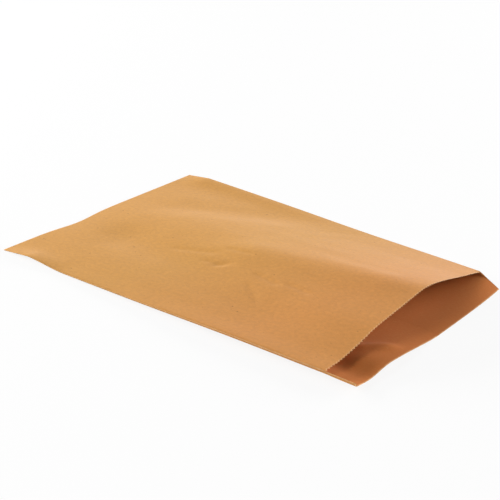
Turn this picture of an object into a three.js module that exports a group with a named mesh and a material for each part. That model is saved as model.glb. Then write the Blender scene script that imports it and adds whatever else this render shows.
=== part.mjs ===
// A flat paper merchandise bag, lying on a table with its mouth a little open.
// Millimetres, +Z up. The bag runs along X from its closed end to its mouth at +X.
// The near fold is at -Y and the far fold at +Y. The back panel lies on the table.
import * as THREE from "three";

// The paper blank
const BAG_WIDTH = 215.9; // fold to fold, pressed flat
const BACK_LENGTH = 279.4; // closed end to the middle of the lip's edge
const LIP = 19.05; // how far the back reaches past the front at the mouth
const LIP_SKEW = 2.4; // the lip is out of square: longer by this at the near fold, shorter at the far one
const PAPER = 0.1;
const FLAP = 19.05; // the closed end, folded under and glued to the back
const FLAP_INSET = 0.8; // the flap stops this far inside the folds
const SEAM_LAP = 15; // the glued lap along the middle of the back
const TOOTH_PITCH = 3; // the sawtooth cut of the front's mouth edge
const TOOTH_DEPTH = 1.2;

// The two side folds
const CREASE_RADIUS = 0.2; // inside a fold that is pressed tight
const MOUTH_FOLD_RADIUS = 1.2; // outside, at the mouth, where the folds spring open
const MOUTH_DRAW_IN = 3.2; // each fold is drawn in by this at the lip as the mouth opens
const FLAP_RISE = 3.75; // height of both folds over the flap's inner edge
const NEAR_DIP_AT = 52; // the near fold sinks again this far from the closed end
const NEAR_DIP = 1.6;
const NEAR_LIFT = 7; // height of the folds at the mouth
const FAR_LIFT = 7.6;
const LIP_NEAR_LIFT = 6; // height of the lip's two corners
const LIP_FAR_LIFT = 0.6;
const NOSE_DENT = 1.2; // the closed end's fold is pushed in by this at one place
const NOSE_DENT_AT = -26; // distance across of its middle
const NOSE_DENT_HALF_WIDTH = 26;
const NOSE_DENT_REACH = 40; // it dies out over this length
const KINK_REACH = 9; // how far into the front a fold's kink beside the flap is felt

// The back panel
const SETTLE = 42; // behind the flap the back sinks to the table over this length
const TABLE_REACH = 75; // the back leaves the table this far inside each fold
const CLOSED_TABLE_REACH = 18; // the same at the closed end
const TABLE_REACH_GROWTH = 120; // over this length the one becomes the other
const BUCKLE_RISE = 4.7; // a soft buckle that lifts the lip
const BUCKLE_FROM_NEAR = 53;
const BUCKLE_NEAR_WIDTH = 46; // from its top to its near and its far end
const BUCKLE_FAR_WIDTH = 66;
const BUCKLE_LENGTH = 70;

// The front panel, whose crest rises from the closed end to the mouth
const CREST_RISE = 23.2;
const CREST_GROWTH = 0.95; // power of the distance by which the crest rises
const CREST_SHARE = 0.6; // place of the crest: share of the way from the near fold to the far one

// The front's section: share of the way from the near fold to the far one, and rise at the mouth's edge
const SECTION = [
  [0.0, 0.3],
  [0.09, 1.0],
  [0.17, 3.6],
  [0.27, 8.4],
  [0.37, 11.4],
  [0.5, 14.0],
  [CREST_SHARE, 15.6],
  [0.66, 14.9],
  [0.75, 11.3],
  [0.87, 5.8],
  [1.0, 0.0],
];

// Soft folds in the front: station and distance across at both ends, half the width, and rise
const SOFT_FOLDS = [
  { from: [100, -4], to: [225, 14], halfWidth: 17, rise: 1.2 },
  { from: [50, -32], to: [180, -58], halfWidth: 25, rise: -2.6 },
  { from: [30, 38], to: [95, 72], halfWidth: 16, rise: -1.5 },
];
const SOFT_FOLD_FADE = 1.5; // past its ends a soft fold dies out over this many of its half widths
const SOFT_FOLD_START = 50; // all of them die out over this length towards the closed end

// How finely the curved paper is divided
const TEETH_PER_CELL = 2;
const BACK_CELLS = 13; // on each side of the seam
const SEAM_CELLS = 2;
const FOLD_STEPS = 3; // in each quarter of a fold's round
const FLAP_ROWS = 2;
const SETTLE_ROWS = 4;
const PANEL_ROWS = 12;
const LIP_ROWS = 4;

// Sizes that follow from the ones above
const TIGHT_FOLD = CREASE_RADIUS + PAPER;
const FLAP_PLIES = 2;
const SEAM_PLIES = 1;
const FLAP_STACK = (FLAP_PLIES + 2 * SEAM_PLIES) * PAPER;
const CLOSED_HEIGHT = TIGHT_FOLD + FLAP_STACK;
const TIP_STATION = BACK_LENGTH - LIP;
const CUT_STATION = TIP_STATION - TOOTH_DEPTH;
const TOOTH_BAND = 3 * TOOTH_DEPTH;
const FRONT_CELLS = Math.round(BAG_WIDTH / (TEETH_PER_CELL * TOOTH_PITCH));

const { lerp, clamp, smoothstep } = THREE.MathUtils;

// Share of the way from one station to another, held between 0 and 1.
function along(station, start, end) {
  return clamp((station - start) / (end - start), 0, 1);
}

// Shape of the side folds, by station: the distance from the closed end

function halfWidth(station) {
  return BAG_WIDTH / 2 - MOUTH_DRAW_IN * (station / BACK_LENGTH) ** 2;
}

function foldRadius(station) {
  if (station > CUT_STATION) {
    return lerp(MOUTH_FOLD_RADIUS, TIGHT_FOLD, along(station, CUT_STATION, BACK_LENGTH));
  }
  return lerp(TIGHT_FOLD, MOUTH_FOLD_RADIUS, along(station, FLAP, CUT_STATION));
}

function nearFoldHeight(station) {
  if (station > CUT_STATION) {
    return lerp(NEAR_LIFT, LIP_NEAR_LIFT, along(station, CUT_STATION, BACK_LENGTH));
  }
  if (station > NEAR_DIP_AT) {
    return lerp(NEAR_DIP, NEAR_LIFT, along(station, NEAR_DIP_AT, CUT_STATION));
  }
  if (station > FLAP) {
    return lerp(FLAP_RISE, NEAR_DIP, smoothstep(station, FLAP, NEAR_DIP_AT));
  }
  return lerp(CLOSED_HEIGHT, FLAP_RISE, along(station, 0, FLAP));
}

function farFoldHeight(station) {
  if (station > CUT_STATION) {
    return lerp(FAR_LIFT, LIP_FAR_LIFT, along(station, CUT_STATION, BACK_LENGTH));
  }
  if (station > FLAP) {
    return lerp(FLAP_RISE, FAR_LIFT, along(station, FLAP, CUT_STATION));
  }
  return lerp(CLOSED_HEIGHT, FLAP_RISE, along(station, 0, FLAP));
}

// Height of the two panels' outer faces, by station and distance across

function panelHalf(station) {
  return halfWidth(station) - foldRadius(station);
}

// A fold's height without its kink beside the flap.
function foldTrend(station, lift) {
  return lerp(CLOSED_HEIGHT, lift, station / CUT_STATION);
}

function trendLine(station, share) {
  const near = foldTrend(station, NEAR_LIFT);
  const far = foldTrend(station, FAR_LIFT);
  return lerp(near, far, share) + foldRadius(station);
}

function bell(offset, size) {
  return Math.exp(-((offset / size) ** 2));
}

const sectionShares = SECTION.map((point) => point[0]);
const sectionRises = SECTION.map((point) => point[1]);
const sectionCurve = new THREE.CubicInterpolant(sectionShares, sectionRises, 1, [0]);

// Rise of the front's section, where its crest has a rise of 1.
function sectionRise(share) {
  return sectionCurve.evaluate(share)[0] / Math.max(...sectionRises);
}

// A ridge or a hollow along a line on the front, dying out past both ends.
function softFold(fold, station, across) {
  const start = new THREE.Vector2(...fold.from);
  const line = new THREE.Vector2(...fold.to).sub(start);
  const place = new THREE.Vector2(station, across).sub(start);
  const length = line.length();
  line.normalize();
  const run = place.dot(line);
  const past = Math.max(-run, run - length, 0);
  const aside = place.cross(line);
  return fold.rise * bell(aside, fold.halfWidth) * bell(past, SOFT_FOLD_FADE * fold.halfWidth);
}

function frontHeight(station, across) {
  const half = panelHalf(station);
  const share = clamp((across + half) / (2 * half), 0, 1);
  const crest = CLOSED_HEIGHT + TIGHT_FOLD + CREST_RISE * (station / CUT_STATION) ** CREST_GROWTH;
  const rise = crest - trendLine(station, CREST_SHARE);
  const nearKink = nearFoldHeight(station) - foldTrend(station, NEAR_LIFT);
  const farKink = farFoldHeight(station) - foldTrend(station, FAR_LIFT);
  let height = trendLine(station, share) + rise * sectionRise(share);
  height += nearKink * bell(half + across, KINK_REACH) + farKink * bell(half - across, KINK_REACH);
  for (const fold of SOFT_FOLDS) {
    height += softFold(fold, station, across) * smoothstep(station, 0, SOFT_FOLD_START);
  }
  return height;
}

function buckleHeight(station, fromNear) {
  const width = fromNear < BUCKLE_FROM_NEAR ? BUCKLE_NEAR_WIDTH : BUCKLE_FAR_WIDTH;
  const offset = Math.abs(fromNear - BUCKLE_FROM_NEAR) / width;
  const across = offset < 1 ? (1 + Math.cos(Math.PI * offset)) / 2 : 0;
  return BUCKLE_RISE * across * smoothstep(station, BACK_LENGTH - BUCKLE_LENGTH, BACK_LENGTH);
}

// The back lies on the glued flap, sinks to the table behind it, and bends up to the folds.
function backHeight(station, across) {
  const half = panelHalf(station);
  const radius = foldRadius(station);
  const nearEnd = nearFoldHeight(station) - radius;
  const farEnd = farFoldHeight(station) - radius;
  const tableReach = lerp(CLOSED_TABLE_REACH, TABLE_REACH, smoothstep(station, 0, TABLE_REACH_GROWTH));
  const nearPull = Math.max(0, 1 - (half + across) / tableReach) ** 2;
  const farPull = Math.max(0, 1 - (half - across) / tableReach) ** 2;
  const rest = lerp(FLAP_STACK, SEAM_PLIES * PAPER, smoothstep(station, FLAP, FLAP + SETTLE));
  const lifted = rest + (nearEnd - rest) * nearPull + (farEnd - rest) * farPull;
  return lifted + buckleHeight(station, half + across);
}

// Distance along X. The lip keeps its length of paper as it bends down, so it reaches less far in plan.
function reach(station, across) {
  if (station <= CUT_STATION) {
    const dent = NOSE_DENT * bell(across - NOSE_DENT_AT, NOSE_DENT_HALF_WIDTH);
    return station + dent * (1 - smoothstep(station, 0, NOSE_DENT_REACH));
  }
  const skew = (-across / halfWidth(BACK_LENGTH)) * LIP_SKEW * along(station, CUT_STATION, BACK_LENGTH);
  const run = station - CUT_STATION + skew;
  const drop = backHeight(station, across) - backHeight(CUT_STATION, across);
  return CUT_STATION + Math.sqrt(run ** 2 - drop ** 2);
}

// Points across the bag at one station, from the near fold to the far fold.
// The outer face has inset 0, and the inner face has inset PAPER.

function foldQuarter(station, side, upward, inset) {
  const radius = foldRadius(station);
  const height = side < 0 ? nearFoldHeight(station) : farFoldHeight(station);
  const points = [];
  for (let step = 0; step < FOLD_STEPS; step++) {
    const angle = (Math.PI / 2) * (step / FOLD_STEPS);
    const across = side * (panelHalf(station) + (radius - inset) * Math.cos(angle));
    const rise = upward * (radius - inset) * Math.sin(angle);
    points.push(new THREE.Vector3(reach(station, side * panelHalf(station)), across, height + rise));
  }
  return points;
}

function closeFolds(station, upward, inset, panel) {
  const near = foldQuarter(station, -1, upward, inset);
  const far = foldQuarter(station, 1, upward, inset);
  return [...near, ...panel, ...far.reverse()];
}

function frontPanelPoint(station, share, inset) {
  const across = lerp(-panelHalf(station), panelHalf(station), share);
  return new THREE.Vector3(reach(station, across), across, frontHeight(station, across) - inset);
}

function frontRow(station, inset) {
  const panel = [];
  for (let cell = 0; cell <= FRONT_CELLS; cell++) {
    panel.push(frontPanelPoint(station, cell / FRONT_CELLS, inset));
  }
  return closeFolds(station, 1, inset, panel);
}

// The sawtooth edge: valleys on the cut's own line, tips a tooth's depth past it.
function toothRow(inset) {
  const halfTeeth = 2 * TEETH_PER_CELL * FRONT_CELLS;
  const panel = [];
  for (let i = 0; i <= halfTeeth; i++) {
    const point = frontPanelPoint(CUT_STATION, i / halfTeeth, inset);
    point.x += i % 2 === 1 ? TOOTH_DEPTH : 0;
    panel.push(point);
  }
  return closeFolds(CUT_STATION, 1, inset, panel);
}

function backPoint(station, across, rise) {
  return new THREE.Vector3(reach(station, across), across, backHeight(station, across) + rise);
}

// Places across the back, each with the plies glued under it. A step has two places, one for each level.
function backPlaces(station, underFlap) {
  const flapEdge = panelHalf(station) - FLAP_INSET;
  const seamEdge = SEAM_LAP / 2;
  const flapPlies = underFlap ? FLAP_PLIES : 0;
  const seamPlies = flapPlies + (underFlap ? 2 * SEAM_PLIES : SEAM_PLIES);
  const places = [{ across: -panelHalf(station), plies: 0 }];
  places.push({ across: -flapEdge, plies: 0 });
  for (let cell = 0; cell <= BACK_CELLS; cell++) {
    places.push({ across: lerp(-flapEdge, -seamEdge, cell / BACK_CELLS), plies: flapPlies });
  }
  for (let cell = 0; cell <= SEAM_CELLS; cell++) {
    places.push({ across: lerp(-seamEdge, seamEdge, cell / SEAM_CELLS), plies: seamPlies });
  }
  for (let cell = 0; cell <= BACK_CELLS; cell++) {
    places.push({ across: lerp(seamEdge, flapEdge, cell / BACK_CELLS), plies: flapPlies });
  }
  places.push({ across: flapEdge, plies: 0 });
  places.push({ across: panelHalf(station), plies: 0 });
  return places;
}

function backOuterRow(station, underFlap) {
  const places = backPlaces(station, underFlap);
  const panel = places.map((place) => backPoint(station, place.across, -place.plies * PAPER));
  return closeFolds(station, -1, 0, panel);
}

function backInnerRow(station) {
  const places = backPlaces(station, false);
  const panel = places.map((place) => backPoint(station, place.across, PAPER));
  return closeFolds(station, -1, PAPER, panel);
}

// Stations along the bag

function spread(start, end, count) {
  return Array.from({ length: count }, (_, i) => lerp(start, end, (i + 1) / count));
}

const firstStation = TIGHT_FOLD;
const cavityStation = firstStation + PAPER;
const flapStations = spread(firstStation, FLAP, FLAP_ROWS);
const settleStations = spread(FLAP, FLAP + SETTLE, SETTLE_ROWS);
const panelStations = spread(FLAP + SETTLE, CUT_STATION - TOOTH_BAND, PANEL_ROWS);
const lipStations = spread(CUT_STATION, BACK_LENGTH, LIP_ROWS);
const bodyStations = [...settleStations, ...panelStations];

// Joining rows of points into one closed skin

const corners = [];

function addTriangle(a, b, c) {
  corners.push(a, b, c);
}

// A strip of triangles between two rows that run the same way across, whatever their counts of points.
// Seen with the first row on the left and the rows running away, it faces the viewer.
function addStrip(left, right) {
  let i = 0;
  let j = 0;
  while (i < left.length - 1 || j < right.length - 1) {
    const leftNext = i < left.length - 1 ? left[i + 1].y : Infinity;
    const rightNext = j < right.length - 1 ? right[j + 1].y : Infinity;
    if (leftNext < rightNext || (leftNext === rightNext && i <= j)) {
      addTriangle(left[i], right[j], left[i + 1]);
      i += 1;
    } else {
      addTriangle(left[i], right[j], right[j + 1]);
      j += 1;
    }
  }
}

// Strips between rows of equal counts, row by row.
function addSkin(rows, facesUp) {
  for (let r = 0; r + 1 < rows.length; r++) {
    for (let i = 0; i + 1 < rows[r].length; i++) {
      const [a, b] = [rows[r][i], rows[r][i + 1]];
      const [c, d] = [rows[r + 1][i], rows[r + 1][i + 1]];
      if (facesUp) {
        addTriangle(a, c, b);
        addTriangle(b, c, d);
      } else {
        addTriangle(a, b, c);
        addTriangle(b, d, c);
      }
    }
  }
}

// The front, outside and inside
const frontStations = [...flapStations, ...bodyStations];
const frontOuter = [firstStation, ...frontStations].map((station) => frontRow(station, 0));
const frontInner = [cavityStation, ...frontStations].map((station) => frontRow(station, PAPER));
addSkin(frontOuter, true);
addSkin(frontInner, false);

// The sawtooth edge of the front
const outerTeeth = toothRow(0);
const innerTeeth = toothRow(PAPER);
addStrip(frontOuter.at(-1), outerTeeth);
addStrip(innerTeeth, frontInner.at(-1));
for (let i = 0; i + 1 < outerTeeth.length; i++) {
  addTriangle(outerTeeth[i], innerTeeth[i], outerTeeth[i + 1]);
  addTriangle(outerTeeth[i + 1], innerTeeth[i], innerTeeth[i + 1]);
}

// The back with its lip, outside with the flap and the seam, and inside
const backStations = [...bodyStations, CUT_STATION, ...lipStations];
const backOuter = [
  ...[firstStation, ...flapStations].map((station) => backOuterRow(station, true)),
  ...[FLAP, ...backStations].map((station) => backOuterRow(station, false)),
];
const backInner = [cavityStation, ...flapStations, ...backStations].map(backInnerRow);
addSkin(backOuter, false);
addSkin(backInner, true);

// The cut edge round the lip
addStrip(backInner.at(-1), backOuter.at(-1));
const lipInner = backInner.slice(-LIP_ROWS - 1);
const lipOuter = backOuter.slice(-LIP_ROWS - 1);
for (let r = 0; r < LIP_ROWS; r++) {
  addTriangle(lipOuter[r][0], lipOuter[r + 1][0], lipInner[r][0]);
  addTriangle(lipInner[r][0], lipOuter[r + 1][0], lipInner[r + 1][0]);
  addTriangle(lipOuter[r].at(-1), lipInner[r].at(-1), lipOuter[r + 1].at(-1));
  addTriangle(lipInner[r].at(-1), lipInner[r + 1].at(-1), lipOuter[r + 1].at(-1));
}

// The closed end: a rounded nose outside, and the end of the cavity inside
const noseRow = frontOuter[0].slice(FOLD_STEPS, -FOLD_STEPS);
const nose = noseRow.map((point) => new THREE.Vector3(reach(0, point.y), point.y, CLOSED_HEIGHT));
addStrip(nose, frontOuter[0]);
addStrip(backOuter[0], nose);
addStrip(frontInner[0], backInner[0]);

// Points that lie together become one, and triangles with no area are left out.
function weld(points) {
  const places = new Map();
  const positions = [];
  const index = [];
  const numbers = points.map((point) => {
    const key = point.toArray().map((value) => Math.round(value * 1e4)).join(",");
    if (!places.has(key)) {
      places.set(key, places.size);
      positions.push(point.x, point.y, point.z);
    }
    return places.get(key);
  });
  for (let i = 0; i < numbers.length; i += 3) {
    const [a, b, c] = numbers.slice(i, i + 3);
    if (a !== b && b !== c && c !== a) {
      index.push(a, b, c);
    }
  }
  const geometry = new THREE.BufferGeometry();
  geometry.setAttribute("position", new THREE.Float32BufferAttribute(positions, 3));
  geometry.setIndex(index);
  return geometry;
}

const bagGeometry = weld(corners);

// The origin is the middle of the bag's footprint, on the table.
bagGeometry.computeBoundingBox();
const middle = bagGeometry.boundingBox.getCenter(new THREE.Vector3());
bagGeometry.translate(-middle.x, -middle.y, -bagGeometry.boundingBox.min.z);
bagGeometry.computeVertexNormals();

const kraft = new THREE.MeshStandardMaterial({ color: 0xd69c62, roughness: 0.85, metalness: 0 });
const paperBag = new THREE.Mesh(bagGeometry, kraft);
paperBag.name = "paper_bag";

const group = new THREE.Group();
group.add(paperBag);

export default group;
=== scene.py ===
"""A flat kraft paper merchandise bag, lying on its back with its mouth a little open.

The bag is made as the real one is: a flat blank is cut, folded into a tube that laps down the middle of the
back, and folded under at the closed end. Metres, +Z up, with the closed end at -X and the mouth at +X.

A station is a distance from the closed end along the paper. A distance across is from the bag's middle, and
is below 0 on the near side.
"""
import math

import bpy
import numpy as np
from mathutils import Matrix, Vector, noise


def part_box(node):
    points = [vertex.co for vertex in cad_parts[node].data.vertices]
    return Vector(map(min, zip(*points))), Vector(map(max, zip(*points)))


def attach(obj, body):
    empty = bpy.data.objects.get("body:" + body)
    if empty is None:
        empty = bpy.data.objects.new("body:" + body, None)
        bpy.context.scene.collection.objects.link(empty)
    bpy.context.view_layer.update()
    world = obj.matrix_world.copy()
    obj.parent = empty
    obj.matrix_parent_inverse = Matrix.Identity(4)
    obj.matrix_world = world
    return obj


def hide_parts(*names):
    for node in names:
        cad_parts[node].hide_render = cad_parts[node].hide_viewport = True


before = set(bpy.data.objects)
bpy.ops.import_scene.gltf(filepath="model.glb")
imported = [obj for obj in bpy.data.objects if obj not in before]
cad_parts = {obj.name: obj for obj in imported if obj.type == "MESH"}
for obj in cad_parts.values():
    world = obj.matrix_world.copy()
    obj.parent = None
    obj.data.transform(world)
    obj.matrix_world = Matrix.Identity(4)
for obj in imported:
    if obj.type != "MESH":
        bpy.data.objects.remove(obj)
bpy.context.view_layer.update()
bag_low, bag_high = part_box("paper_bag")

MM = 0.001

# The paper blank
BAG_WIDTH = bag_high.y - bag_low.y
BACK_LENGTH = 279.4 * MM
PAPER = 0.1 * MM
FLAP = 19.05 * MM
FLAP_INSET = 0.8 * MM
LIP = 19.05 * MM
TEETH = 72
TOOTH_DEPTH = 1.2 * MM
TIP_STATION = BACK_LENGTH - LIP
CUT_STATION = TIP_STATION - TOOTH_DEPTH

# The lip's edge, which runs slightly askew and bulges in its middle
LIP_SKEW = 2.2 * MM
LIP_BULGE = 0.7 * MM

# The blank's grid: columns half a tooth wide, and whole numbers of rows on the lip, the flap and the body
COLUMN = BAG_WIDTH / (2 * TEETH)
LAP_COLUMNS = 10
HALF_BACK_COLUMNS = TEETH + LAP_COLUMNS // 2
SEAM_LAP = LAP_COLUMNS * COLUMN
LIP_ROWS = 9
ROW = LIP / LIP_ROWS
FLAP_ROWS = round(FLAP / ROW)
BODY_ROWS = round(BACK_LENGTH / ROW)

# Extra cuts in the columns and rows beside each fold line
FOLD_CUTS = 3
LAST_CUT = COLUMN * FOLD_CUTS / (FOLD_CUTS + 1)
SMOOTH_ANGLE = math.radians(40)

# Radius of the side folds at the closed end and at the mouth. On the lip the far one goes flat.
TIGHT_FOLD = 0.3 * MM
MOUTH_FOLD = 1.2 * MM
LIP_FOLD = 0.12 * MM
LIP_RELAX = 8 * MM

# Height of a fold's sharp edge over the fold's middle, as a share of its radius
EDGE_UP = 0.9

# The side folds draw in towards the mouth, and both start low at the closed end
MOUTH_DRAW_IN = 3.2 * MM
CLOSED_HEIGHT = 0.7 * MM

# Heights along the near fold, and the stations that they are at
NEAR_KINK = 3.4 * MM
NEAR_KINK_AT = 21.5 * MM
NEAR_DIP = 1.6 * MM
NEAR_DIP_AT = 52 * MM
NEAR_ARCH = 0.6 * MM
NEAR_ARCH_AT = 185 * MM
NEAR_ARCH_HALF_LENGTH = 50 * MM
NEAR_LIFT = 6.6 * MM
LIP_NEAR_LIFT = 6.4 * MM

# Heights along the far fold in the same way, and the power that its fall on the lip grows by
FAR_KINK = 3.75 * MM
FAR_SAG = 0.8 * MM
FAR_SAG_AT = 165 * MM
FAR_SAG_HALF_LENGTH = 60 * MM
FAR_LIFT = 7.6 * MM
LIP_FAR_LIFT = 0.6 * MM
LIP_FAR_FALL = 1.15

# How far the kinks and dips of the folds reach into the front
CORNER_REACH = 13 * MM

# The closed end's rounded edge, with a slight dent in it. The back's ply turns over inside the front's.
NOSE_RADIUS = 0.35 * MM
NOSE_PLIES_APART = 1.5 * PAPER
NOSE_DENT = 2.8 * MM
NOSE_DENT_AT = -32 * MM
NOSE_DENT_HALF_WIDTH = 23 * MM
NOSE_DENT_REACH = 40 * MM

# The back panel, which settles from the flap's plies to the table and is held off it beside the folds
FLAP_STACK = 4 * PAPER
SETTLE = 42 * MM
TABLE_REACH = 75 * MM
CLOSED_TABLE_REACH = 18 * MM
TABLE_REACH_FULL_AT = 120 * MM

# The lip's buckle
BUCKLE_RISE = 4.7 * MM
BUCKLE_FROM_NEAR = 47 * MM
BUCKLE_NEAR_WIDTH = 46 * MM
BUCKLE_FAR_WIDTH = 70 * MM
BUCKLE_LENGTH = 58 * MM

# The front panel, whose crest line rises from the closed end to the mouth
CREST_SHARE = 0.6
CREST_RISE = 22.8 * MM
CREST_GROWTH = 0.95

# The mouth's edge: share of the way from the near fold to the far one, and rise over the line between them
MOUTH_EDGE = (
    (0.00, 0.3 * MM),
    (0.09, 1.2 * MM),
    (0.17, 4.0 * MM),
    (0.27, 8.8 * MM),
    (0.37, 11.4 * MM),
    (0.50, 14.0 * MM),
    (0.60, 15.6 * MM),
    (0.66, 14.4 * MM),
    (0.75, 10.9 * MM),
    (0.87, 5.4 * MM),
    (1.00, 0.0 * MM),
)
MOUTH_EDGE_RISE = max(rise for _, rise in MOUTH_EDGE)

# Soft folds in the front: station and distance across at both ends, half the width, and rise
SOFT_FOLDS = (
    ((136 * MM, 1 * MM), (228 * MM, 8 * MM), 17 * MM, 2.2 * MM),
    ((50 * MM, -32 * MM), (180 * MM, -58 * MM), 25 * MM, -2.6 * MM),
    ((30 * MM, 38 * MM), (95 * MM, 72 * MM), 16 * MM, -1.0 * MM),
)
SOFT_FOLD_START = 50 * MM
SOFT_FOLD_FADE = 1.5

# A dent and handling creases in the front, in the same terms
CREASES = (
    ((124 * MM, -29 * MM), (129 * MM, -25 * MM), 2.4 * MM, -0.65 * MM),
    ((115 * MM, -28 * MM), (125 * MM, -27 * MM), 2.4 * MM, -0.5 * MM),
    ((157 * MM, -27 * MM), (173 * MM, -31 * MM), 2.4 * MM, -0.55 * MM),
    ((184 * MM, -28 * MM), (198 * MM, -31 * MM), 2.4 * MM, -0.55 * MM),
    ((159 * MM, -42 * MM), (175 * MM, -55 * MM), 2.4 * MM, -0.4 * MM),
    ((87 * MM, -23 * MM), (111 * MM, -16 * MM), 3 * MM, -0.45 * MM),
    ((120 * MM, -6 * MM), (133 * MM, -6 * MM), 2.4 * MM, -0.4 * MM),
)

# A ridge and a hollow in the lip, in the same terms
LIP_FOLDS = (
    ((255 * MM, -53 * MM), (266 * MM, -41 * MM), 5.5 * MM, 1.6 * MM),
    ((252 * MM, -83 * MM), (264 * MM, -83 * MM), 12 * MM, -2.3 * MM),
)

# Slight waves of the paper, which fade out towards the closed end and, over a share of the panel, the folds
RIPPLE_SIZE = 12 * MM
RIPPLE_RISE = 0.09 * MM
RIPPLE_START = 30 * MM
RIPPLE_MARGIN = 0.1

# Colours of the paper
DARK_PULP = (0.50, 0.225, 0.050, 1)
MIDDLE_PULP = (0.59, 0.270, 0.062, 1)
LIGHT_PULP = (0.68, 0.318, 0.075, 1)
# The inner face's colour, redder and darker than the outer pulp: painted warm bounce light inside the bag
INNER_PULP_AND_PAINTED_BOUNCE = (0.56, 0.194, 0.045, 1)
LIGHT_FIBRE = (0.74, 0.40, 0.13, 1)
DARK_FIBRE = (0.34, 0.14, 0.03, 1)
SPECK = (0.24, 0.09, 0.02, 1)
WORN_AND_HIGHLIT_PAPER = (0.86, 0.54, 0.26, 1)

# Pulp: faint clouds of about 15 mm and flocs of about 3 mm, counted per metre, and the tones they give
CLOUD_SCALE = 65
CLOUD_DETAIL = 3
CLOUD_SHARE = 0.2
FLOC_SCALE = 350
FLOC_DETAIL = 5
FLOC_SHARE = 0.8
PULP_TONES = ((0.15, DARK_PULP), (0.5, MIDDLE_PULP), (0.85, LIGHT_PULP))

# The tone changes between two stations on the near fold, and further on by a slant away from it. Inside the
# lip its redder end is painted warm bounce light.
TONE_CHANGE = (77 * MM, 187 * MM)
TONE_SLANT = 0.4

# The tone's two ends. A hue of 0.5 leaves the colour as it is.
CLOSED_END_HUE = 0.5045
CLOSED_END_VALUE = 0.97
MOUTH_HUE = 0.4945

# Light fibres and dark shives: turn from the bag's length, length, width, noise that shows, and strength
GRAIN_DETAIL = 2
FIBRE_TURN = math.radians(8)
FIBRE_LENGTH = 2.8 * MM
FIBRE_WIDTH = 0.35 * MM
FIBRE_NOISE = (0.58, 0.76)
FIBRE_STRENGTH = 0.35
SHIVE_TURN = math.radians(-24)
SHIVE_LENGTH = 3.5 * MM
SHIVE_WIDTH = 0.7 * MM
SHIVE_NOISE = (0.64, 0.76)
SHIVE_STRENGTH = 0.6

# Specks of bark: cells per metre, radius from faint to full in cells, and the chance that a cell has one
SPECK_CELLS = 150
SPECK_RADIUS = (0.11, 0.05)
SPECK_CHANCE = (0.72, 0.95)
SPECK_STRENGTH = 0.8

# Lighter fold lines and cut edges, partly rubbed paper and partly a painted highlight where they catch the
# light: distance from a fold line, nearness to a cut edge, and the patches that it comes in
FOLD_WEAR_AND_HIGHLIGHT = (0.7 * MM, 0.2 * MM)
FOLD_WEAR_AND_HIGHLIGHT_STRENGTH = 0.6
CUT_WEAR_AND_HIGHLIGHT = (0.45, 0.95)
CUT_WEAR_AND_HIGHLIGHT_STRENGTH = 0.9
WEAR_AND_HIGHLIGHT_PATCHES = (0.3, 0.6)
WEAR_AND_HIGHLIGHT_LEAST = 0.35

# Finish: the outer face is matt with a soft sheen, and the inner one is duller
OUTER_SPECULAR = 0.35
INNER_SPECULAR = 0.10
OUTER_SHEEN = 0.12
INNER_SHEEN = 0.03
SHEEN_ROUGHNESS = 0.3
PULP_NOISE = (0.35, 0.65)
PULP_ROUGHNESS = (0.74, 0.88)
INNER_ROUGHER = 0.08
FIBRE_RELIEF = 0.6
RELIEF_DEPTH = 0.12 * MM
RELIEF_STRENGTH = 0.5

# The camera: where it looks, and its turn, height, roll, distance and lens
LOOK_AT = Vector((-25.43 * MM, 25.34 * MM, 0))
TURN = math.radians(31.62)
HEIGHT = math.radians(23.60)
ROLL = math.radians(6.98)
DISTANCE = 1148.7 * MM
LENS = 115.2
SENSOR = 36

# The floor, which mostly shows as white and keeps a faint shadow
FLOOR_SIZE = 12
FLOOR_PAINT = (0.9, 0.9, 0.9, 1)
FLOOR_WHITENESS = 0.88

# The backdrop, and the little light that comes from it
WHITE = (1, 1, 1, 1)
DOME_STRENGTH = 0.02

# Softboxes round the bag: name, turn from the camera's line to the left, height, width, depth and power
SOFTBOX_DISTANCE = 2.0
SOFTBOXES = (
    ("softbox_left", 112, 13, 1.6, 0.6, 72),
    ("softbox_right", 242, 13, 1.4, 0.6, 54),
    ("softbox_high", 56, 33, 0.8, 0.8, 18),
    ("softbox_front", 315, 30, 0.8, 0.8, 7),
)


# Curves that the shapes are made of


def share_between(value, start, end):
    """Share of the way from start to end, held between 0 and 1."""
    return np.clip((value - start) / (end - start), 0.0, 1.0)


def ease(value, start, end):
    """The same share, starting and ending gently."""
    share = share_between(value, start, end)
    return share * share * (3 - 2 * share)


def blend(a, b, share):
    return a + (b - a) * share


def bell(offset, spread):
    return np.exp(-((offset / spread) ** 2))


def smooth_curve(points, places):
    """Height of a smooth curve through the points at the given places along it."""
    knots = np.array([p[0] for p in points])
    heights = np.array([p[1] for p in points])
    slopes = np.gradient(heights, knots)
    i = np.clip(np.searchsorted(knots, places) - 1, 0, len(knots) - 2)
    span = knots[i + 1] - knots[i]
    t = np.clip((places - knots[i]) / span, 0.0, 1.0)
    rise = heights[i] * (1 + 2 * t) * (1 - t) ** 2 + heights[i + 1] * t * t * (3 - 2 * t)
    return rise + span * (slopes[i] * t * (1 - t) ** 2 + slopes[i + 1] * t * t * (t - 1))


# Shape of the side folds, by station


def half_width(station):
    return BAG_WIDTH / 2 - MOUTH_DRAW_IN * (station / BACK_LENGTH) ** 2


def open_radius(station):
    return blend(TIGHT_FOLD, MOUTH_FOLD, share_between(station, FLAP, CUT_STATION))


def far_radius(station):
    """The far fold goes flat on the lip, where the front is cut away."""
    flat = share_between(station, CUT_STATION, CUT_STATION + LIP_RELAX)
    return blend(open_radius(station), LIP_FOLD, flat)


def panel_half(station):
    return half_width(station) - far_radius(station)


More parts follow.
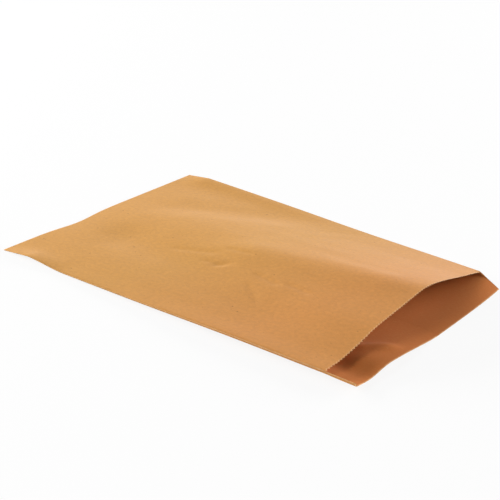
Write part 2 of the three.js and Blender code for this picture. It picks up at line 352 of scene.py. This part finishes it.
def near_fold_height(station):
    rise = blend(CLOSED_HEIGHT, NEAR_KINK, share_between(station, 0, NEAR_KINK_AT))
    rise = blend(rise, NEAR_DIP, ease(station, NEAR_KINK_AT, NEAR_DIP_AT))
    rise = rise + (NEAR_LIFT - NEAR_DIP) * share_between(station, NEAR_DIP_AT, CUT_STATION)
    rise = rise + NEAR_ARCH * bell(station - NEAR_ARCH_AT, NEAR_ARCH_HALF_LENGTH)
    return rise + (LIP_NEAR_LIFT - NEAR_LIFT) * share_between(station, CUT_STATION, BACK_LENGTH)


def far_fold_height(station):
    rise = blend(CLOSED_HEIGHT, FAR_KINK, share_between(station, 0, FLAP))
    rise = rise + (FAR_LIFT - FAR_KINK) * share_between(station, FLAP, CUT_STATION)
    rise = rise - FAR_SAG * bell(station - FAR_SAG_AT, FAR_SAG_HALF_LENGTH)
    on_lip = share_between(station, CUT_STATION, BACK_LENGTH)
    return rise + (LIP_FAR_LIFT - FAR_LIFT) * on_lip**LIP_FAR_FALL


def near_fold_trend(station):
    """The near fold as a straight rise to the mouth, without its kinks."""
    return blend(CLOSED_HEIGHT, NEAR_LIFT, station / CUT_STATION)


def far_fold_trend(station):
    return blend(CLOSED_HEIGHT, FAR_LIFT, station / CUT_STATION)


def share_across(station, across):
    half = panel_half(station)
    return np.clip((across + half) / (2 * half), 0.0, 1.0)


# Height of the two panels' outer faces, by station and distance across


def trend_line(station, share):
    """Height of the straight line between the tops of the two folds, without their kinks."""
    return blend(near_fold_trend(station), far_fold_trend(station), share) + open_radius(station)


def soft_fold(station, across, start, end, spread, rise):
    """A ridge or a hollow along a line on a panel, dying out past both ends."""
    length = math.dist(start, end)
    toward = ((end[0] - start[0]) / length, (end[1] - start[1]) / length)
    along = (station - start[0]) * toward[0] + (across - start[1]) * toward[1]
    aside = (across - start[1]) * toward[0] - (station - start[0]) * toward[1]
    past = np.maximum(np.maximum(-along, along - length), 0.0)
    return rise * bell(aside, spread) * bell(past, SOFT_FOLD_FADE * spread)


def front_height(station, across):
    share = share_across(station, across)
    half = panel_half(station)
    crest = CLOSED_HEIGHT + TIGHT_FOLD + CREST_RISE * (station / CUT_STATION) ** CREST_GROWTH
    rise = crest - trend_line(station, CREST_SHARE)
    height = trend_line(station, share) + rise * smooth_curve(MOUTH_EDGE, share) / MOUTH_EDGE_RISE
    near_kink = near_fold_height(station) - near_fold_trend(station)
    far_kink = far_fold_height(station) - far_fold_trend(station)
    height = height + near_kink * bell(half + across, CORNER_REACH)
    height = height + far_kink * bell(half - across, CORNER_REACH)
    for fold in SOFT_FOLDS + CREASES:
        height = height + soft_fold(station, across, *fold) * ease(station, 0, SOFT_FOLD_START)
    return height


def buckle(station, from_near):
    flank = np.where(from_near < BUCKLE_FROM_NEAR, BUCKLE_NEAR_WIDTH, BUCKLE_FAR_WIDTH)
    offset = np.clip(np.abs(from_near - BUCKLE_FROM_NEAR) / flank, 0.0, 1.0)
    wave = (1 + np.cos(math.pi * offset)) / 2
    return BUCKLE_RISE * wave * ease(station, BACK_LENGTH - BUCKLE_LENGTH, BACK_LENGTH)


def back_height(station, across):
    half = panel_half(station)
    near_end = near_fold_height(station) - open_radius(station)
    far_end = far_fold_height(station) - far_radius(station)
    table_reach = blend(CLOSED_TABLE_REACH, TABLE_REACH, ease(station, 0, TABLE_REACH_FULL_AT))
    near_pull = np.clip(1 - (half + across) / table_reach, 0.0, None) ** 2
    far_pull = np.clip(1 - (half - across) / table_reach, 0.0, None) ** 2
    rest = blend(FLAP_STACK, PAPER, ease(station, FLAP, FLAP + SETTLE))
    lifted = rest + (near_end - rest) * near_pull + (far_end - rest) * far_pull
    height = lifted + buckle(station, half + across)
    for fold in LIP_FOLDS:
        height = height + soft_fold(station, across, *fold)
    return height


def reach(station, across):
    """Distance along the bag. The lip keeps its length of paper as it bends down."""
    lip_share = share_between(station, CUT_STATION, BACK_LENGTH)
    side_share = across / half_width(BACK_LENGTH)
    longer = LIP_BULGE * (1 - side_share**2) - LIP_SKEW * side_share
    run = station - CUT_STATION + longer * lip_share
    drop = back_height(station, across) - back_height(np.full_like(station, CUT_STATION), across)
    on_lip = CUT_STATION + np.sqrt(np.clip(run**2 - drop**2, 0.0, None))
    return np.where(lip_share > 0, on_lip, station)


# Cutting the flat blank


def select_only(sheet, kind, wanted):
    """Leaves edit mode with only the wanted vertices, edges or faces of the sheet selected."""
    bpy.ops.object.mode_set(mode="EDIT")
    bpy.ops.mesh.select_mode(type={"vertices": "VERT", "edges": "EDGE", "polygons": "FACE"}[kind])
    bpy.ops.mesh.select_all(action="DESELECT")
    bpy.ops.object.mode_set(mode="OBJECT")
    getattr(sheet.data, kind).foreach_set("select", wanted)
    bpy.ops.object.mode_set(mode="EDIT")


def corner_places(sheet):
    places = np.empty(len(sheet.data.vertices) * 3)
    sheet.data.vertices.foreach_get("co", places)
    return places.reshape(-1, 3)


def edge_ends(sheet):
    ends = np.empty(len(sheet.data.edges) * 2, dtype=int)
    sheet.data.edges.foreach_get("vertices", ends)
    places = corner_places(sheet)
    return places[ends[0::2]], places[ends[1::2]]


def cut_blank():
    """Its x is the station, below 0 on the flap. Its y runs round the tube from the middle of the front."""
    bpy.ops.object.select_all(action="DESELECT")
    rows = FLAP_ROWS + BODY_ROWS
    columns = 2 * (TEETH + HALF_BACK_COLUMNS)
    bpy.ops.mesh.primitive_grid_add(x_subdivisions=rows, y_subdivisions=columns, size=1)
    sheet = bpy.context.object
    sheet.name = "paper_bag_sheet"
    bpy.ops.object.mode_set(mode="EDIT")
    bpy.ops.transform.resize(value=(rows * ROW, columns * COLUMN, 1))
    bpy.ops.transform.translate(value=((BODY_ROWS - FLAP_ROWS) * ROW / 2, 0, 0))
    bpy.ops.object.mode_set(mode="OBJECT")
    cut_front_short(sheet)
    cut_teeth(sheet)
    divide_fold_lines(sheet)
    return sheet


def cut_front_short(sheet):
    """The front stops short of the back, which leaves the lip."""
    centres = np.empty(len(sheet.data.polygons) * 3)
    sheet.data.polygons.foreach_get("center", centres)
    centres = centres.reshape(-1, 3)
    past_cut = (centres[:, 0] > TIP_STATION) & (np.abs(centres[:, 1]) < BAG_WIDTH / 2)
    select_only(sheet, "polygons", past_cut)
    bpy.ops.mesh.delete(type="FACE")
    bpy.ops.object.mode_set(mode="OBJECT")


def cut_teeth(sheet):
    """Every other point of the front's edge goes back by the depth of a tooth."""
    places = corner_places(sheet)
    on_edge = np.abs(places[:, 0] - TIP_STATION) < ROW / 2
    from_near = np.rint((places[:, 1] + BAG_WIDTH / 2) / COLUMN)
    on_front = (from_near >= 0) & (from_near <= 2 * TEETH)
    select_only(sheet, "vertices", on_edge & on_front & (from_near % 2 == 0))
    bpy.ops.transform.translate(value=(-TOOTH_DEPTH, 0, 0))
    bpy.ops.object.mode_set(mode="OBJECT")


def divide_fold_lines(sheet):
    """Adds columns and rows beside each fold line, so that the folds can be round."""
    start, end = edge_ends(sheet)
    middle = (start + end) / 2
    beside_fold = np.abs(np.abs(middle[:, 1]) - BAG_WIDTH / 2) < COLUMN
    select_only(sheet, "edges", beside_fold & (np.abs(start[:, 1] - end[:, 1]) > COLUMN / 2))
    bpy.ops.mesh.subdivide(number_cuts=FOLD_CUTS)
    bpy.ops.object.mode_set(mode="OBJECT")
    start, end = edge_ends(sheet)
    middle = (start + end) / 2
    beside_end = np.abs(middle[:, 0]) < ROW
    select_only(sheet, "edges", beside_end & (np.abs(start[:, 0] - end[:, 0]) > ROW / 2))
    bpy.ops.mesh.subdivide(number_cuts=FOLD_CUTS)
    bpy.ops.object.mode_set(mode="OBJECT")


# Folding the blank


def keep_flat_map(sheet):
    """The flat places become the UV map, so that the fibres follow the paper round its folds."""
    flat = corner_places(sheet)[:, :2]
    loops = np.empty(len(sheet.data.loops), dtype=int)
    sheet.data.loops.foreach_get("vertex_index", loops)
    sheet.data.uv_layers[0].name = "blank"
    sheet.data.uv_layers["blank"].data.foreach_set("uv", flat[loops].ravel())


def mark_cut_edges(sheet):
    """An attribute that is 1 on the cut edges that show, and 0 one cell inside them.

    The seam's inner edge is left out, because the lap covers it.
    """
    bpy.ops.object.mode_set(mode="EDIT")
    bpy.ops.mesh.select_mode(type="VERT")
    bpy.ops.mesh.select_all(action="DESELECT")
    bpy.ops.mesh.select_non_manifold()
    bpy.ops.object.mode_set(mode="OBJECT")
    cut = np.empty(len(sheet.data.vertices), dtype=bool)
    sheet.data.vertices.foreach_get("select", cut)
    round_tube = corner_places(sheet)[:, 1]
    cut &= round_tube > round_tube.min() + COLUMN / 2
    mark = sheet.data.attributes.new("cut_edge", "FLOAT", "POINT")
    mark.data.foreach_set("value", cut.astype(np.float32))


def fold_profile(turn_share):
    """Shares of a side fold's radius, outwards and upwards. The turn is -1 on the front and 1 on the back.

    The front runs out to a sharp edge, and the back falls away under it.
    """
    out = 1 - np.abs(turn_share)
    front_up = blend(1, EDGE_UP, (1 + turn_share) ** 2)
    back_up = blend(EDGE_UP, -1, turn_share)
    return out, np.where(turn_share < 0, front_up, back_up)


def ripple(flat):
    """Slight waves of the paper, by its places on the flat blank."""
    waves = [noise.noise(Vector((x, y, 0)) / RIPPLE_SIZE) for x, y, _ in flat]
    return RIPPLE_RISE * np.array(waves) * ease(flat[:, 0], 0, RIPPLE_START)


def fold_blank(sheet):
    flat = corner_places(sheet)
    station = np.abs(flat[:, 0])
    on_top = np.sign(flat[:, 0])
    side = np.where(flat[:, 1] < 0, -1.0, 1.0)
    past_fold = np.abs(flat[:, 1]) - BAG_WIDTH / 2
    turn_share = np.clip(past_fold / COLUMN, -1.0, 1.0)
    turn = turn_share * math.pi / 2
    on_front = past_fold < 0
    on_round = np.abs(past_fold) < (LAST_CUT + COLUMN) / 2

    # Places across, on the panels and round the folds
    radius = np.where(side < 0, open_radius(station), far_radius(station))
    half = half_width(station) - radius
    from_fold = (np.abs(past_fold) - COLUMN) / (BAG_WIDTH / 2 - COLUMN)
    across = side * half * (1 - np.clip(from_fold, 0.0, None))
    fold_height = np.where(side < 0, near_fold_height(station), far_fold_height(station))
    middle_radius = radius - PAPER / 2

    # The tube, whose far half goes under the near one where the seam laps
    lap = ease(SEAM_LAP / 2 + COLUMN - np.abs(across), 0, COLUMN)
    back_z = back_height(station, across) + PAPER / 2 - np.where(side > 0, PAPER * lap, 0)
    front_z = front_height(station, across) - PAPER / 2
    front_z = front_z + ripple(flat) * ease(from_fold, 0, RIPPLE_MARGIN)
    tube_z = np.where(on_front, front_z, back_z)
    out, up = fold_profile(turn_share)
    tube_z = np.where(on_round, fold_height + middle_radius * up, tube_z)
    tube_y = np.where(on_round, side * (half + middle_radius * out), across)

    # The flap, with its two plies turned over under the back, and lower where the seam laps
    flap_across = across * (1 - FLAP_INSET / half)
    under = back_height(station, flap_across)
    flap_back = under - PAPER / 2 - PAPER * lap * np.where(side > 0, 1, 2)
    flap_front = under - PAPER - PAPER / 2 - PAPER * lap * 2
    flap_z = np.where(on_front, flap_front, flap_back)
    flap_z = np.where(on_round, under - PAPER + PAPER / 2 * np.sin(turn), flap_z)
    flap_y = flap_across + np.where(on_round, side * PAPER / 2 * np.cos(turn), 0)

    # The closed end, where the tube turns over into the flap. The first row's cuts crowd towards the nose.
    inside = NOSE_PLIES_APART * (1 + np.sin(turn)) / 2
    first_row = ROW * (station / ROW) ** 2
    first_row = inside + first_row * (1 - inside / ROW)
    end_x = np.where(station < ROW, first_row, reach(station, across))
    rounded = np.sqrt(1 - (1 - np.clip((end_x - inside) / NOSE_RADIUS, 0.0, 1.0)) ** 2)
    top_share = (1 + on_top * rounded) / 2
    dent = NOSE_DENT * bell(across - NOSE_DENT_AT, NOSE_DENT_HALF_WIDTH)
    end_x = end_x + dent * (1 - ease(station, 0, NOSE_DENT_REACH))

    folded = np.stack(
        [
            bag_low.x + end_x,
            blend(flap_y, tube_y, top_share),
            bag_low.z + blend(flap_z, tube_z, top_share),
        ],
        axis=1,
    )
    sheet.data.vertices.foreach_set("co", folded.ravel())
    sheet.data.update()


def thicken(sheet):
    """Gives the folded sheet the thickness of its paper, and marks the face that is inside the bag."""
    count = len(sheet.data.vertices)
    wall = sheet.modifiers.new("paper", "SOLIDIFY")
    wall.thickness = PAPER
    wall.offset = 0
    wall.use_rim = True
    bpy.ops.object.modifier_apply(modifier=wall.name)
    is_inner = np.arange(len(sheet.data.vertices)) >= count
    mark = sheet.data.attributes.new("inner_face", "FLOAT", "POINT")
    mark.data.foreach_set("value", is_inner.astype(np.float32))
    bpy.ops.object.shade_smooth_by_angle(angle=SMOOTH_ANGLE)


def make_bag():
    sheet = cut_blank()
    keep_flat_map(sheet)
    mark_cut_edges(sheet)
    fold_blank(sheet)
    thicken(sheet)
    sheet.data.materials.append(kraft_paper())
    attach(sheet, "root")
    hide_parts("paper_bag")


# The kraft paper


def add_node(tree, kind, **settings):
    node = tree.nodes.new(kind)
    for name, value in settings.items():
        setattr(node, name, value)
    return node


def cloud_noise(tree, place, scale, detail):
    node = add_node(tree, "ShaderNodeTexNoise")
    node.inputs["Scale"].default_value = scale
    node.inputs["Detail"].default_value = detail
    tree.links.new(place, node.inputs["Vector"])
    return node.outputs["Fac"]


def grain_noise(tree, place, turn, length, width):
    """Noise in streaks of the given length and width, turned from the bag's length."""
    node = add_node(tree, "ShaderNodeMapping", vector_type="TEXTURE")
    node.inputs["Rotation"].default_value = (0, 0, turn)
    node.inputs["Scale"].default_value = (length, width, 1)
    tree.links.new(place, node.inputs["Vector"])
    return cloud_noise(tree, node.outputs["Vector"], 1, GRAIN_DETAIL)


def math_node(tree, operation, *values):
    node = add_node(tree, "ShaderNodeMath", operation=operation)
    for socket, value in zip(node.inputs, values):
        if isinstance(value, (int, float)):
            socket.default_value = value
        else:
            tree.links.new(value, socket)
    return node.outputs[0]


def remap(tree, value, start, end, to_start=0.0, to_end=1.0):
    """Takes start to to_start and end to to_end, and holds the values outside."""
    node = add_node(tree, "ShaderNodeMapRange")
    node.inputs["From Min"].default_value = start
    node.inputs["From Max"].default_value = end
    node.inputs["To Min"].default_value = to_start
    node.inputs["To Max"].default_value = to_end
    tree.links.new(value, node.inputs["Value"])
    return node.outputs["Result"]


def tint(tree, colour, factor, other):
    node = add_node(tree, "ShaderNodeMix", data_type="RGBA")
    node.inputs["B"].default_value = other
    tree.links.new(factor, node.inputs["Factor"])
    tree.links.new(colour, node.inputs["A"])
    return node.outputs["Result"]


def pulp_colour(tree, pulp, inner):
    ramp = add_node(tree, "ShaderNodeValToRGB")
    ramp.color_ramp.elements.new(PULP_TONES[1][0])
    for element, (place, tone) in zip(ramp.color_ramp.elements, PULP_TONES):
        element.position = place
        element.color = tone
    tree.links.new(pulp, ramp.inputs["Fac"])
    # The inner face takes a redder, darker colour, which paints the warm light bouncing round inside the
    # bag
    return tint(tree, ramp.outputs["Color"], inner, INNER_PULP_AND_PAINTED_BOUNCE)


def shift_tone(tree, colour, blank):
    """Takes the tone slightly from yellower and darker at the closed end to redder at the mouth's near
    side. Inside the lip the redder tone paints the warm light that bounces round in the bag.
    """
    past_near_fold = math_node(tree, "ADD", blank.outputs["Y"], BAG_WIDTH / 2)
    from_near = math_node(tree, "PINGPONG", past_near_fold, BAG_WIDTH)
    slantwise = math_node(tree, "MULTIPLY_ADD", from_near, -TONE_SLANT, blank.outputs["X"])
    shift = add_node(tree, "ShaderNodeHueSaturation")
    hue = remap(tree, slantwise, *TONE_CHANGE, CLOSED_END_HUE, MOUTH_HUE)
    tree.links.new(hue, shift.inputs["Hue"])
    value = remap(tree, slantwise, *TONE_CHANGE, CLOSED_END_VALUE, 1.0)
    tree.links.new(value, shift.inputs["Value"])
    tree.links.new(colour, shift.inputs["Color"])
    return shift.outputs["Color"]


def bark_specks(tree, flat):
    cells = add_node(tree, "ShaderNodeTexVoronoi")
    cells.inputs["Scale"].default_value = SPECK_CELLS
    tree.links.new(flat, cells.inputs["Vector"])
    draw = add_node(tree, "ShaderNodeSeparateColor")
    tree.links.new(cells.outputs["Color"], draw.inputs["Color"])
    near_middle = remap(tree, cells.outputs["Distance"], *SPECK_RADIUS)
    chosen = remap(tree, draw.outputs["Red"], *SPECK_CHANCE, 0.0, SPECK_STRENGTH)
    return math_node(tree, "MULTIPLY", near_middle, chosen)


def rubbed_and_highlit_edges(tree, blank, flocs):
    """Where the cut edges and the fold lines are lighter, partly rubbed paper and partly a painted
    highlight.
    """
    round_tube = math_node(tree, "ABSOLUTE", blank.outputs["Y"])
    from_side_fold = math_node(tree, "ABSOLUTE", math_node(tree, "SUBTRACT", round_tube, BAG_WIDTH / 2))
    from_end_fold = math_node(tree, "ABSOLUTE", blank.outputs["X"])
    from_fold = math_node(tree, "MINIMUM", from_side_fold, from_end_fold)
    on_fold = remap(tree, from_fold, *FOLD_WEAR_AND_HIGHLIGHT, 0.0, FOLD_WEAR_AND_HIGHLIGHT_STRENGTH)
    cut = add_node(tree, "ShaderNodeAttribute", attribute_name="cut_edge").outputs["Fac"]
    on_cut = remap(tree, cut, *CUT_WEAR_AND_HIGHLIGHT, 0.0, CUT_WEAR_AND_HIGHLIGHT_STRENGTH)
    worn_and_highlit = math_node(tree, "MAXIMUM", on_fold, on_cut)
    return math_node(tree, "MULTIPLY", worn_and_highlit, remap(tree, flocs, *WEAR_AND_HIGHLIGHT_PATCHES, WEAR_AND_HIGHLIGHT_LEAST, 1.0))


def kraft_paper():
    material = bpy.data.materials.new("brown_kraft")
    material.use_nodes = True
    tree = material.node_tree
    shader = tree.nodes["Principled BSDF"]
    flat = add_node(tree, "ShaderNodeUVMap", uv_map="blank").outputs["UV"]
    blank = add_node(tree, "ShaderNodeSeparateXYZ")
    tree.links.new(flat, blank.inputs["Vector"])
    inner = add_node(tree, "ShaderNodeAttribute", attribute_name="inner_face").outputs["Fac"]

    # Noises that the colour and the relief share
    clouds = cloud_noise(tree, flat, CLOUD_SCALE, CLOUD_DETAIL)
    flocs = cloud_noise(tree, flat, FLOC_SCALE, FLOC_DETAIL)
    floc_part = math_node(tree, "MULTIPLY", flocs, FLOC_SHARE)
    pulp = math_node(tree, "MULTIPLY_ADD", clouds, CLOUD_SHARE, floc_part)
    fibres = grain_noise(tree, flat, FIBRE_TURN, FIBRE_LENGTH, FIBRE_WIDTH)
    shives = grain_noise(tree, flat, SHIVE_TURN, SHIVE_LENGTH, SHIVE_WIDTH)

    # Colour
    colour = shift_tone(tree, pulp_colour(tree, pulp, inner), blank)
    colour = tint(tree, colour, remap(tree, fibres, *FIBRE_NOISE, 0.0, FIBRE_STRENGTH), LIGHT_FIBRE)
    colour = tint(tree, colour, remap(tree, shives, *SHIVE_NOISE, 0.0, SHIVE_STRENGTH), DARK_FIBRE)
    colour = tint(tree, colour, bark_specks(tree, flat), SPECK)
    # Fold lines and cut edges lighter: rubbed paper and a painted highlight
    colour = tint(tree, colour, rubbed_and_highlit_edges(tree, blank, flocs), WORN_AND_HIGHLIT_PAPER)
    tree.links.new(colour, shader.inputs["Base Color"])

    # Finish
    specular = remap(tree, inner, 0, 1, OUTER_SPECULAR, INNER_SPECULAR)
    tree.links.new(specular, shader.inputs["Specular IOR Level"])
    tree.links.new(remap(tree, inner, 0, 1, OUTER_SHEEN, INNER_SHEEN), shader.inputs["Sheen Weight"])
    shader.inputs["Sheen Roughness"].default_value = SHEEN_ROUGHNESS
    outer_roughness = remap(tree, pulp, *PULP_NOISE, *PULP_ROUGHNESS)
    roughness = math_node(tree, "MULTIPLY_ADD", inner, INNER_ROUGHER, outer_roughness)
    tree.links.new(roughness, shader.inputs["Roughness"])

    # Relief
    bump = add_node(tree, "ShaderNodeBump")
    bump.inputs["Strength"].default_value = RELIEF_STRENGTH
    bump.inputs["Distance"].default_value = RELIEF_DEPTH
    relief = math_node(tree, "MULTIPLY_ADD", fibres, FIBRE_RELIEF, flocs)
    tree.links.new(relief, bump.inputs["Height"])
    tree.links.new(bump.outputs["Normal"], shader.inputs["Normal"])
    return material


# The stage


def direction(turn, height):
    """A unit vector towards a place round the bag. A turn of 0 is at -Y and grows towards +X."""
    level = math.cos(height)
    return Vector((math.sin(turn) * level, -math.cos(turn) * level, math.sin(height)))


def seen_white(tree, share):
    """A factor that is the given share for rays that show a thing, and 0 for those that light it."""
    path = add_node(tree, "ShaderNodeLightPath")
    shown = math_node(tree, "MAXIMUM", path.outputs["Is Camera Ray"], path.outputs["Is Glossy Ray"])
    shown = math_node(tree, "MAXIMUM", shown, path.outputs["Is Transmission Ray"])
    return math_node(tree, "MULTIPLY", shown, share)


def make_floor():
    bpy.ops.object.select_all(action="DESELECT")
    bpy.ops.mesh.primitive_plane_add(size=FLOOR_SIZE, location=(0, 0, 0))
    floor = bpy.context.object
    floor.name = "floor"
    material = bpy.data.materials.new("floor_white")
    material.use_nodes = True
    tree = material.node_tree
    shader = tree.nodes["Principled BSDF"]
    shader.inputs["Base Color"].default_value = FLOOR_PAINT
    shader.inputs["Roughness"].default_value = 1.0
    shader.inputs["Specular IOR Level"].default_value = 0.0
    glow = add_node(tree, "ShaderNodeEmission")
    mix = add_node(tree, "ShaderNodeMixShader")
    tree.links.new(seen_white(tree, FLOOR_WHITENESS), mix.inputs["Fac"])
    tree.links.new(shader.outputs["BSDF"], mix.inputs[1])
    tree.links.new(glow.outputs["Emission"], mix.inputs[2])
    tree.links.new(mix.outputs["Shader"], tree.nodes["Material Output"].inputs["Surface"])
    floor.data.materials.append(material)


def make_world():
    """A white backdrop, of which only a little lights the bag."""
    world = bpy.data.worlds.new("studio")
    bpy.context.scene.world = world
    world.use_nodes = True
    tree = world.node_tree
    dome = tree.nodes["Background"]
    dome.inputs["Color"].default_value = WHITE
    dome.inputs["Strength"].default_value = DOME_STRENGTH
    backdrop = add_node(tree, "ShaderNodeBackground")
    backdrop.inputs["Color"].default_value = WHITE
    backdrop.inputs["Strength"].default_value = 1.0
    mix = add_node(tree, "ShaderNodeMixShader")
    tree.links.new(seen_white(tree, 1.0), mix.inputs["Fac"])
    tree.links.new(dome.outputs["Background"], mix.inputs[1])
    tree.links.new(backdrop.outputs["Background"], mix.inputs[2])
    tree.links.new(mix.outputs["Shader"], tree.nodes["World Output"].inputs["Surface"])


def make_softboxes():
    for name, turn, height, width, depth, power in SOFTBOXES:
        toward = direction(TURN - math.radians(turn), math.radians(height))
        bpy.ops.object.light_add(type="AREA", location=toward * SOFTBOX_DISTANCE)
        softbox = bpy.context.object
        softbox.name = name
        softbox.data.shape = "RECTANGLE"
        softbox.data.size = width
        softbox.data.size_y = depth
        softbox.data.energy = power
        softbox.rotation_euler = toward.to_track_quat("Z", "Y").to_euler()
        softbox.visible_camera = False


def make_camera():
    back = direction(TURN, HEIGHT)
    level_right = Vector((0, 0, 1)).cross(back).normalized()
    level_up = back.cross(level_right)
    right = level_right * math.cos(ROLL) + level_up * math.sin(ROLL)
    up = level_up * math.cos(ROLL) - level_right * math.sin(ROLL)
    bpy.ops.object.camera_add()
    camera = bpy.context.object
    turned = Matrix((right, up, back)).transposed().to_4x4()
    camera.matrix_world = Matrix.Translation(LOOK_AT + back * DISTANCE) @ turned
    camera.data.lens = LENS
    camera.data.sensor_width = SENSOR
    bpy.context.scene.camera = camera


make_bag()
make_floor()
make_world()
make_softboxes()
make_camera()
bpy.context.scene.view_settings.view_transform = "Standard"

bpy.context.view_layer.update()
